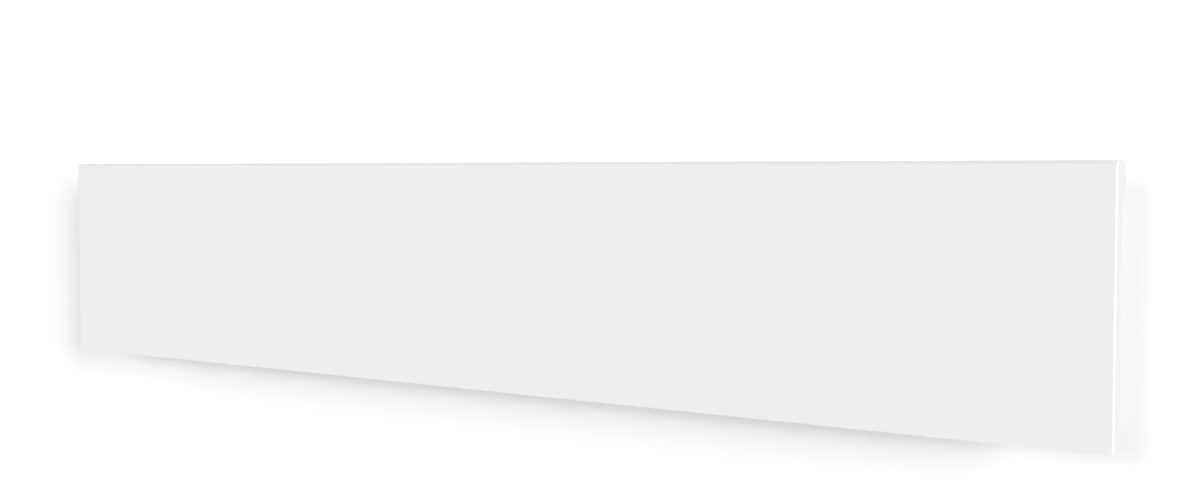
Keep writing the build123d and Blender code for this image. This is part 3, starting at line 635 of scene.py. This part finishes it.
FINISH_LIST: tuple[Finish, ...] = (
    PowderCoat("front_enamel", (0.845, 0.845, 0.863), 0.56),
    PowderCoat("casing_enamel", (0.835, 0.837, 0.850), 0.58),
    Spangled("galvanised", (0.66, 0.67, 0.69), 0.42, 0.9),
    DrawnMetal("spring_steel", (0.52, 0.52, 0.54), 0.28, lay=Lay.ALONG_Y),
    HeatTinted("rod_steel", (0.50, 0.47, 0.44), 0.35),
    DrawnMetal("screw_steel", (0.68, 0.68, 0.69), 0.32, lay=Lay.ALONG_Z),
    DrawnMetal("element_aluminium", (0.74, 0.74, 0.75), 0.38),
    DrawnMetal("shield_aluminium", (0.82, 0.82, 0.83), 0.2, tarnish_share=0.08),
    DrawnMetal("brass", (0.76, 0.60, 0.31), 0.3, tarnish=(0.34, 0.24, 0.11), tarnish_share=0.5),
    Speckled("ceramic", (0.82, 0.78, 0.71), 0.8),
    Moulded("white_plastic", (0.835, 0.835, 0.845), 0.52),
    Moulded("button_plastic", (0.74, 0.74, 0.75), 0.4, mould=Mould.SATIN),
    Moulded("black_plastic", (0.028, 0.028, 0.030), 0.48, flow_level=0.7),
    Moulded("rocker_plastic", (0.80, 0.80, 0.81), 0.22, mould=Mould.POLISHED),
    SmokedWindow("window_plastic", (0.018, 0.018, 0.021), 0.08),
    Ink("lens_plastic", (0.16, 0.56, 0.24), 0.2, glow=0.5),
    Laminate("board_laminate", (0.03, 0.20, 0.08), 0.3),
    Moulded("component_black", (0.035, 0.035, 0.04), 0.55, flow_level=0.6),
    DrawnMetal("radio_can", (0.62, 0.61, 0.58), 0.4),
    Speckled("rubber", (0.055, 0.055, 0.056), 0.78, speckle=(0.16, 0.16, 0.155),
             speckle_share=0.35),
    Moulded("gland_plastic", (0.76, 0.76, 0.77), 0.42, mould=Mould.SATIN),
    Moulded("lead_brown", (0.17, 0.075, 0.035), 0.4, flow_level=0.75),
    Moulded("lead_blue", (0.028, 0.11, 0.38), 0.4, flow_level=0.75),
    Moulded("lead_grey", (0.30, 0.30, 0.31), 0.42, flow_level=0.85),
    Ink("key_ink", (0.12, 0.12, 0.13), 0.5),
    Ink("digit_glow", (0.80, 0.90, 1.0), 0.4, glow=1.0),
)
FINISHES: dict[str, Finish] = {finish.name: finish for finish in FINISH_LIST}


class Paintbox:
    """Makes each finish once, when a piece first needs it."""

    def __init__(self) -> None:
        """Starts with no material made."""
        self.made: dict[str, bpy.types.Material] = {}

    def get(self, name: str) -> bpy.types.Material:
        """Finds or makes the material of a finish.

        Args:
            name: The finish's name.

        Returns:
            Its material.
        """
        if name not in self.made:
            self.made[name] = FINISHES[name].material()
        return self.made[name]

    def coat(self, piece: bpy.types.Object, name: str) -> None:
        """Gives a piece one finish in all its material slots.

        Args:
            piece: The piece.
            name: The finish's name.
        """
        if not piece.material_slots:
            piece.data.materials.append(None)
        for slot in piece.material_slots:
            slot.material = self.get(name)
        log.info("%s finished in %s", piece.name, name)


@dataclass
class Relief:
    """Thin raised marks on a flat place, outlined in that place's own axes."""

    name: str
    origin: Vector
    across: Vector
    up: Vector
    proud: float = 0.00006
    sunk: float = 0.00003
    weld: float = 0.000001

    def build(self, outlines: Iterable[Outline]) -> bpy.types.Object:
        """Builds the marks as one closed mesh.

        Args:
            outlines: Each mark's corners in millimetres, across and up.

        Returns:
            The new object, linked to the scene.
        """
        outward = self.across.cross(self.up).normalized()
        base = self.origin - outward * self.sunk
        work = bmesh.new()
        for outline in outlines:
            corners = [
                work.verts.new(base + (self.across * u + self.up * v) * MM) for u, v in outline
            ]
            work.faces.new(corners)
        bmesh.ops.remove_doubles(work, verts=work.verts[:], dist=self.weld)
        grown = bmesh.ops.extrude_face_region(work, geom=work.faces[:], use_keep_orig=True)
        lifted = [item for item in grown["geom"] if isinstance(item, bmesh.types.BMVert)]
        bmesh.ops.translate(work, verts=lifted, vec=outward * (self.proud + self.sunk))
        bmesh.ops.recalc_face_normals(work, faces=work.faces[:])
        mesh = bpy.data.meshes.new(self.name)
        work.to_mesh(mesh)
        work.free()
        piece = bpy.data.objects.new(self.name, mesh)
        bpy.context.scene.collection.objects.link(piece)
        return piece


def bar(u: float, v: float, width: float, height: float, lean: float = 0.0) -> Outline:
    """Outlines a rectangle.

    Args:
        u: Centre across.
        v: Centre upwards.
        width: Size across.
        height: Size upwards.
        lean: How far a point moves across for each unit upwards.

    Returns:
        Its four corners.
    """
    corners = [(-0.5, -0.5), (0.5, -0.5), (0.5, 0.5), (-0.5, 0.5)]
    return [(u + a * width + lean * (v + b * height), v + b * height) for a, b in corners]


def ring(u: float, v: float, radius: float, line: float, steps: int = 40) -> list[Outline]:
    """Outlines a ring as a chain of small four-sided pieces.

    Args:
        u: Centre across.
        v: Centre upwards.
        radius: Inner radius.
        line: Width of the ring's line.
        steps: How many pieces go round.

    Returns:
        The corners of each piece.
    """
    angles = [2 * math.pi * step / steps for step in range(steps)]
    inner = [(u + radius * math.cos(a), v + radius * math.sin(a)) for a in angles]
    reach = radius + line
    outer = [(u + reach * math.cos(a), v + reach * math.sin(a)) for a in angles]
    return [
        [inner[step], outer[step], outer[(step + 1) % steps], inner[(step + 1) % steps]]
        for step in range(steps)
    ]


@dataclass
class SubAssembly:
    """Nodes that belong together, dressed in the finishes that the record gives them."""

    frame: dict[str, Any]
    paints: Paintbox
    members: tuple[str, ...] = ()
    kept: list[bpy.types.Object] = field(default_factory=list)

    def dress(self) -> None:
        """Coats every member of the sub-assembly."""
        slots = {
            part["node"]: part["material_slot"] for part in self.frame["record"]["subparts"]
        }
        for name in self.members:
            self.paints.coat(self.frame["nodes"][name], slots[name])

    def adopt(self, piece: bpy.types.Object, body: str, finish: str) -> None:
        """Coats a new piece, lets it ride on a body and keeps it.

        Args:
            piece: The new piece.
            body: The CAD body that it moves with.
            finish: The finish that it gets.
        """
        self.paints.coat(piece, finish)
        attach(piece, body)
        self.kept.append(piece)

    def build(self) -> None:
        """Builds the sub-assembly's own pieces; most have none."""

    def complete(self) -> None:
        """Builds and dresses the sub-assembly, and reports it."""
        self.build()
        self.dress()
        title = type(self).__name__
        log.info("%s: %d nodes, %d new pieces", title, len(self.members), len(self.kept))


@dataclass
class FrontTray(SubAssembly):
    """The folded front panel with what it hangs on."""

    members: tuple[str, ...] = (
        "front_panel", "panel_hanger_left", "panel_hanger_centre", "panel_hanger_right",
        "panel_screws",
    )


@dataclass
class Casing(SubAssembly):
    """Folded casing, inner front, end caps, grilles and feet."""

    members: tuple[str, ...] = (
        "rear_casing", "inner_front", "end_cap_left", "end_cap_right",
        "outlet_grille", "inlet_grille", "wall_spacers",
    )


@dataclass
class HeatingSide(SubAssembly):
    """Slit element, its rod and carriers, shield, partition and cut-out."""

    members: tuple[str, ...] = (
        "element_fins", "heating_rod", "rod_terminals", "element_support_left",
        "element_support_right", "element_bush_left", "element_bush_right", "heat_shield",
        "partition_wall", "thermal_cutout", "grommets",
    )


@dataclass
class ControlHead(SubAssembly):
    """Fascia with display and keys, and the board below it; mark sizes in millimetres."""

    members: tuple[str, ...] = (
        "control_housing", "display_window", "indicator_lens", "circuit_board",
        "display_module", "board_components", "radio_module", "tact_switches",
        "button_minus", "button_plus", "button_ok",
    )
    digit_width: float = 4.6
    digit_height: float = 9.0
    digit_line: float = 1.0
    digit_pitch: float = 7.4
    digit_lean: float = 0.09
    lit_bars: dict[str, str] = field(
        default_factory=lambda: {"1": "bc", "2": "abged"}
    )
    degree_radius: float = 0.9
    degree_line: float = 0.5
    degree_shift: float = 1.6
    degree_drop: float = 1.4
    level_count: int = 3
    level_width: float = 1.0
    level_first: float = 2.0
    level_rise: float = 1.6
    level_pitch: float = 1.9
    level_shift: float = 2.4
    mark_size: float = 3.4
    mark_line: float = 0.6

    def top(self, node: str, name: str) -> Relief:
        """Finds the middle of a node's top, as read by someone who faces the wall.

        Args:
            node: The node that carries the marks.
            name: The new piece's name.

        Returns:
            The place for the marks.
        """
        low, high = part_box(node)
        middle = (low + high) / 2
        origin = Vector((middle.x, middle.y, high.z))
        return Relief(name, origin, Vector((1, 0, 0)), Vector((0, 1, 0)))

    def digit(self, figure: str, centre: float) -> list[Outline]:
        """Outlines the lit bars of a seven-bar digit.

        Args:
            figure: The digit.
            centre: Its centre across.

        Returns:
            One outline for each lit bar.
        """
        side, half, line = self.digit_width / 2, self.digit_height / 2, self.digit_line
        level = {"a": half - line / 2, "g": 0.0, "d": line / 2 - half}
        upright = {"b": (side, half / 2), "c": (side, -half / 2), "e": (-side, -half / 2)}
        bars: list[Outline] = []
        for name in self.lit_bars[figure]:
            if name in level:
                width = self.digit_width - line
                bars.append(bar(centre, level[name], width, line, self.digit_lean))
            else:
                u, v = upright[name]
                bars.append(bar(centre + u, v, line, half - line, self.digit_lean))
        return bars

    def reading(self) -> list[Outline]:
        """Outlines what the display shows: a temperature and a few rising bars.

        Returns:
            One outline for each lit area.
        """
        pitch, half = self.digit_pitch, self.digit_height / 2
        shown = self.digit("2", -pitch) + self.digit("1", 0.0)
        u, v = pitch - self.degree_shift, half - self.degree_drop
        shown += ring(u, v, self.degree_radius, self.degree_line)
        for step in range(self.level_count):
            height = self.level_first + self.level_rise * step
            u = pitch + self.level_shift + self.level_pitch * step
            shown.append(bar(u, height / 2 - half, self.level_width, height))
        return shown

    def signs(self) -> dict[str, list[Outline]]:
        """Outlines the signs for less, more and confirm.

        Returns:
            The outlines for each key.
        """
        size, line = self.mark_size, self.mark_line
        thin, reach = line / 2, size / 2
        cross = [
            (-reach, -thin), (-thin, -thin), (-thin, -reach),
            (thin, -reach), (thin, -thin), (reach, -thin),
            (reach, thin), (thin, thin), (thin, reach),
            (-thin, reach), (-thin, thin), (-reach, thin),
        ]
        return {
            "minus": [bar(0.0, 0.0, size, line)],
            "plus": [cross],
            "ok": ring(0.0, 0.0, reach - line, line),
        }

    def build(self) -> None:
        """Adds the lit display and the marks on the three keys."""
        lit = self.top("display_window", "display_digits").build(self.reading())
        self.adopt(lit, "heater", "digit_glow")
        for name, outlines in self.signs().items():
            piece = self.top(f"button_{name}", f"mark_{name}").build(outlines)
            self.adopt(piece, f"{name}_key", "key_ink")


@dataclass
class SupplySide(SubAssembly):
    """Mains rocker, terminal block, gland, sensor and leads; rocker sizes in millimetres."""

    members: tuple[str, ...] = (
        "rocker_housing", "rocker", "rocker_terminals", "terminal_block", "cable_gland",
        "gland_nut", "earth_screw", "sensor_probe", "sensor_clip", "lead_supply",
        "lead_switched", "lead_element_right", "lead_element_left", "lead_sensor",
    )
    crest: float = 4.6
    dish: float = 3.0
    half_height: float = 8.4
    mark_offset: float = 4.7
    stroke_width: float = 0.6
    stroke_height: float = 2.8
    loop_radius: float = 1.0
    loop_line: float = 0.45
    mark_proud: float = 0.00008
    mark_sunk: float = 0.0001

    def hollow_face(self, name: str, offset: float) -> Relief:
        """Finds a place on the rocker's hollow face.

        Args:
            name: The new piece's name.
            offset: Distance from the rocker's middle along its face.

        Returns:
            The place, turned to lie on the curved face there.
        """
        joints = self.frame["joints"]
        toggle = next(joint for joint in joints if joint["name"] == "rocker_toggle")
        tilt = math.radians(toggle["range_deg"][1] / 2)
        out = Vector((math.cos(tilt), 0, math.sin(tilt)))
        along = Vector((-math.sin(tilt), 0, math.cos(tilt)))
        hollow = self.crest - self.dish
        radius = (self.half_height**2 + hollow**2) / (2 * hollow)
        fall = math.sqrt(radius**2 - offset**2)
        rise = self.dish + radius - fall
        origin = Vector(toggle["pos_m"]) + (out * rise + along * offset) * MM
        up = (out * offset + along * fall).normalized()
        return Relief(name, origin, Vector((0, 1, 0)), up, self.mark_proud, self.mark_sunk)

    def build(self) -> None:
        """Adds the on and off marks to the rocker."""
        stroke = [bar(0, 0, self.stroke_width, self.stroke_height)]
        loop = ring(0, 0, self.loop_radius, self.loop_line)
        on = self.hollow_face("mark_on", self.mark_offset).build(stroke)
        off = self.hollow_face("mark_off", -self.mark_offset).build(loop)
        for piece in (on, off):
            self.adopt(piece, "rocker_key", "key_ink")


@dataclass
class WallBracket(SubAssembly):
    """Pressed bracket on the wall with its two spring clips."""

    members: tuple[str, ...] = ("wall_bracket", "top_clip_left", "top_clip_right")


class Side(Enum):
    """Which way a stage plane lies."""

    WALL = "wall"
    FLOOR = "floor"


@dataclass(frozen=True)
class Lamp:
    """A distant soft lamp; bearing from the front to the right, height and spread in degrees."""

    name: str
    bearing: float
    height: float
    strength: float
    spread: float

    def build(self) -> None:
        """Adds the lamp to the scene."""
        data = bpy.data.lights.new(self.name, "SUN")
        data.energy = self.strength
        data.angle = math.radians(self.spread)
        lamp = bpy.data.objects.new(self.name, data)
        b, h = math.radians(self.bearing), math.radians(self.height)
        towards = Vector((math.sin(b) * math.cos(h), -math.cos(b) * math.cos(h), math.sin(h)))
        lamp.rotation_euler = towards.to_track_quat("Z", "Y").to_euler()
        bpy.context.scene.collection.objects.link(lamp)


@dataclass
class Stage:
    """Plain white wall and pale floor, soft lamps and a sky that is brighter below."""

    half_width: float = 2.6
    wall_y: float = 0.0008
    floor_z: float = -0.36
    wall_top: float = 1.4
    depth: float = 3.2
    paper: Colour = (0.97, 0.97, 0.97)
    paper_level: float = 0.995
    paper_grain: Grain = Grain(40.0, 3.0)
    wall_lift: float = 0.05
    floor_lift: float = 0.24
    sky_above: float = 0.42
    sky_below: float = 0.60
    lamps: tuple[Lamp, ...] = (
        Lamp("front_high", 5.0, 12.0, 0.50, 14.0),
        Lamp("front_low", 25.0, 9.0, 0.34, 12.0),
        Lamp("right_near", 58.0, 5.0, 0.34, 8.0),
        Lamp("right_wide", 64.0, 5.0, 0.42, 8.0),
        Lamp("right_upper", 58.0, 11.0, 0.40, 8.0),
        Lamp("right_high", 58.0, 14.0, 0.36, 8.0),
        Lamp("end", 80.0, 10.0, 0.22, 12.0),
        Lamp("back", 200.0, 35.0, 1.2, 20.0),
    )

    def seen(self, recipe: Recipe) -> Signal:
        """Tells what the camera, a reflection or a clear body sees from light.

        Args:
            recipe: The node tree that it is built in.

        Returns:
            1 for what is seen, and 0 for light.
        """
        camera = recipe.node("ShaderNodeLightPath", output="Is Camera Ray")
        glossy = recipe.node("ShaderNodeLightPath", output="Is Glossy Ray")
        clear = recipe.node("ShaderNodeLightPath", output="Is Transmission Ray")
        return (camera + glossy + clear).limited()

    def sheet(self, side: Side) -> bpy.types.Object:
        """Builds the wall or the floor, which only shows from the object's side.

        Args:
            side: Which of the two.

        Returns:
            The new stage object.
        """
        x = self.half_width
        if side is Side.WALL:
            rows = [(-x, self.floor_z), (x, self.floor_z), (x, self.wall_top), (-x, self.wall_top)]
            corners = [(u, self.wall_y, v) for u, v in rows]
        else:
            rows = [(-x, -self.depth), (x, -self.depth), (x, self.depth), (-x, self.depth)]
            corners = [(u, v, self.floor_z) for u, v in rows]
        mesh = bpy.data.meshes.new(side.value)
        mesh.from_pydata(corners, [], [(0, 1, 2, 3)])
        piece = bpy.data.objects.new(side.value, mesh)
        bpy.context.scene.collection.objects.link(piece)
        mesh.materials.append(self.paper_material(side))
        return piece

    def paper_material(self, side: Side) -> bpy.types.Material:
        """Makes the stage's paper, which is clear from behind and for light.

        Args:
            side: The plane that it is for.

        Returns:
            The new material.
        """
        made = bpy.data.materials.new(f"{side.value}_paper")
        made.use_nodes = True
        recipe = Recipe(made.node_tree)
        behind = recipe.node("ShaderNodeNewGeometry", output="Backfacing")
        grain = recipe.noise(recipe.place(), self.paper_grain)
        tone = recipe.mix(grain, rgba(self.paper, self.paper_level), rgba(self.paper))
        paper = recipe.node("ShaderNodeBsdfDiffuse", {}, {"Color": tone})
        lift = self.wall_lift if side is Side.WALL else self.floor_lift
        glow = recipe.node("ShaderNodeEmission", {}, {"Strength": lift})
        lit = recipe.node("ShaderNodeAddShader", {}, {0: paper, 1: glow})
        clear = recipe.node("ShaderNodeBsdfTransparent")
        shown = (1.0 - behind) * self.seen(recipe)
        surface = recipe.node("ShaderNodeMixShader", {}, {0: shown, 1: clear, 2: lit})
        recipe.node("ShaderNodeOutputMaterial", {}, {"Surface": surface})
        return made

    def sky(self) -> None:
        """Sets the world: white where it is seen, and for light a sky that is brighter below."""
        world = bpy.data.worlds.new("studio")
        bpy.context.scene.world = world
        world.use_nodes = True
        recipe = Recipe(world.node_tree)
        above, below, white = (
            recipe.node("ShaderNodeBackground", {}, {"Color": rgba((1, 1, 1)), "Strength": level})
            for level in (self.sky_above, self.sky_below, 1.0)
        )
        height = recipe.node("ShaderNodeTexCoord", output="Generated").part("Z")
        share = 0.5 + 0.5 * height
        even = recipe.node("ShaderNodeMixShader", {}, {0: share, 1: below, 2: above})
        mixed = recipe.node("ShaderNodeMixShader", {}, {0: self.seen(recipe), 1: even, 2: white})
        recipe.node("ShaderNodeOutputWorld", {}, {"Surface": mixed})

    def build(self) -> None:
        """Sets up both planes, the lamps and the sky."""
        for side in Side:
            self.sheet(side)
        for lamp in self.lamps:
            lamp.build()
        self.sky()
        log.info("Stage: wall, floor and %d lamps", len(self.lamps))


@dataclass
class Viewpoint:
    """The camera, at the place that the picture was taken from; turn and dip in degrees."""

    place: tuple[float, float, float] = (0.9657, -1.1927, 0.0920)
    turn: float = 36.92
    dip: float = 2.72
    lens: float = 50.09
    sensor: float = 36.0
    nearest: float = 0.01
    farthest: float = 50.0

    def build(self) -> None:
        """Adds the camera and makes it the scene's own."""
        data = bpy.data.cameras.new("camera")
        data.lens = self.lens
        data.sensor_width = self.sensor
        data.clip_start = self.nearest
        data.clip_end = self.farthest
        camera = bpy.data.objects.new("camera", data)
        camera.location = self.place
        camera.rotation_euler = Euler(
            (math.radians(90.0 - self.dip), 0.0, math.radians(self.turn))
        )
        bpy.context.scene.collection.objects.link(camera)
        bpy.context.scene.camera = camera
        bpy.context.scene.view_settings.view_transform = "Standard"
        log.info("Viewpoint: camera with a %.0f mm lens", self.lens)


def main() -> None:
    """Builds and dresses the heater, its stage and the camera."""
    logging.basicConfig(level=logging.INFO, format="%(name)s: %(message)s")
    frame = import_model()
    Viewpoint().build()
    Stage().build()
    paints = Paintbox()
    groups = (FrontTray, Casing, HeatingSide, ControlHead, SupplySide, WallBracket)
    for group in groups:
        group(frame, paints).complete()


if __name__ == "__main__":
    main()
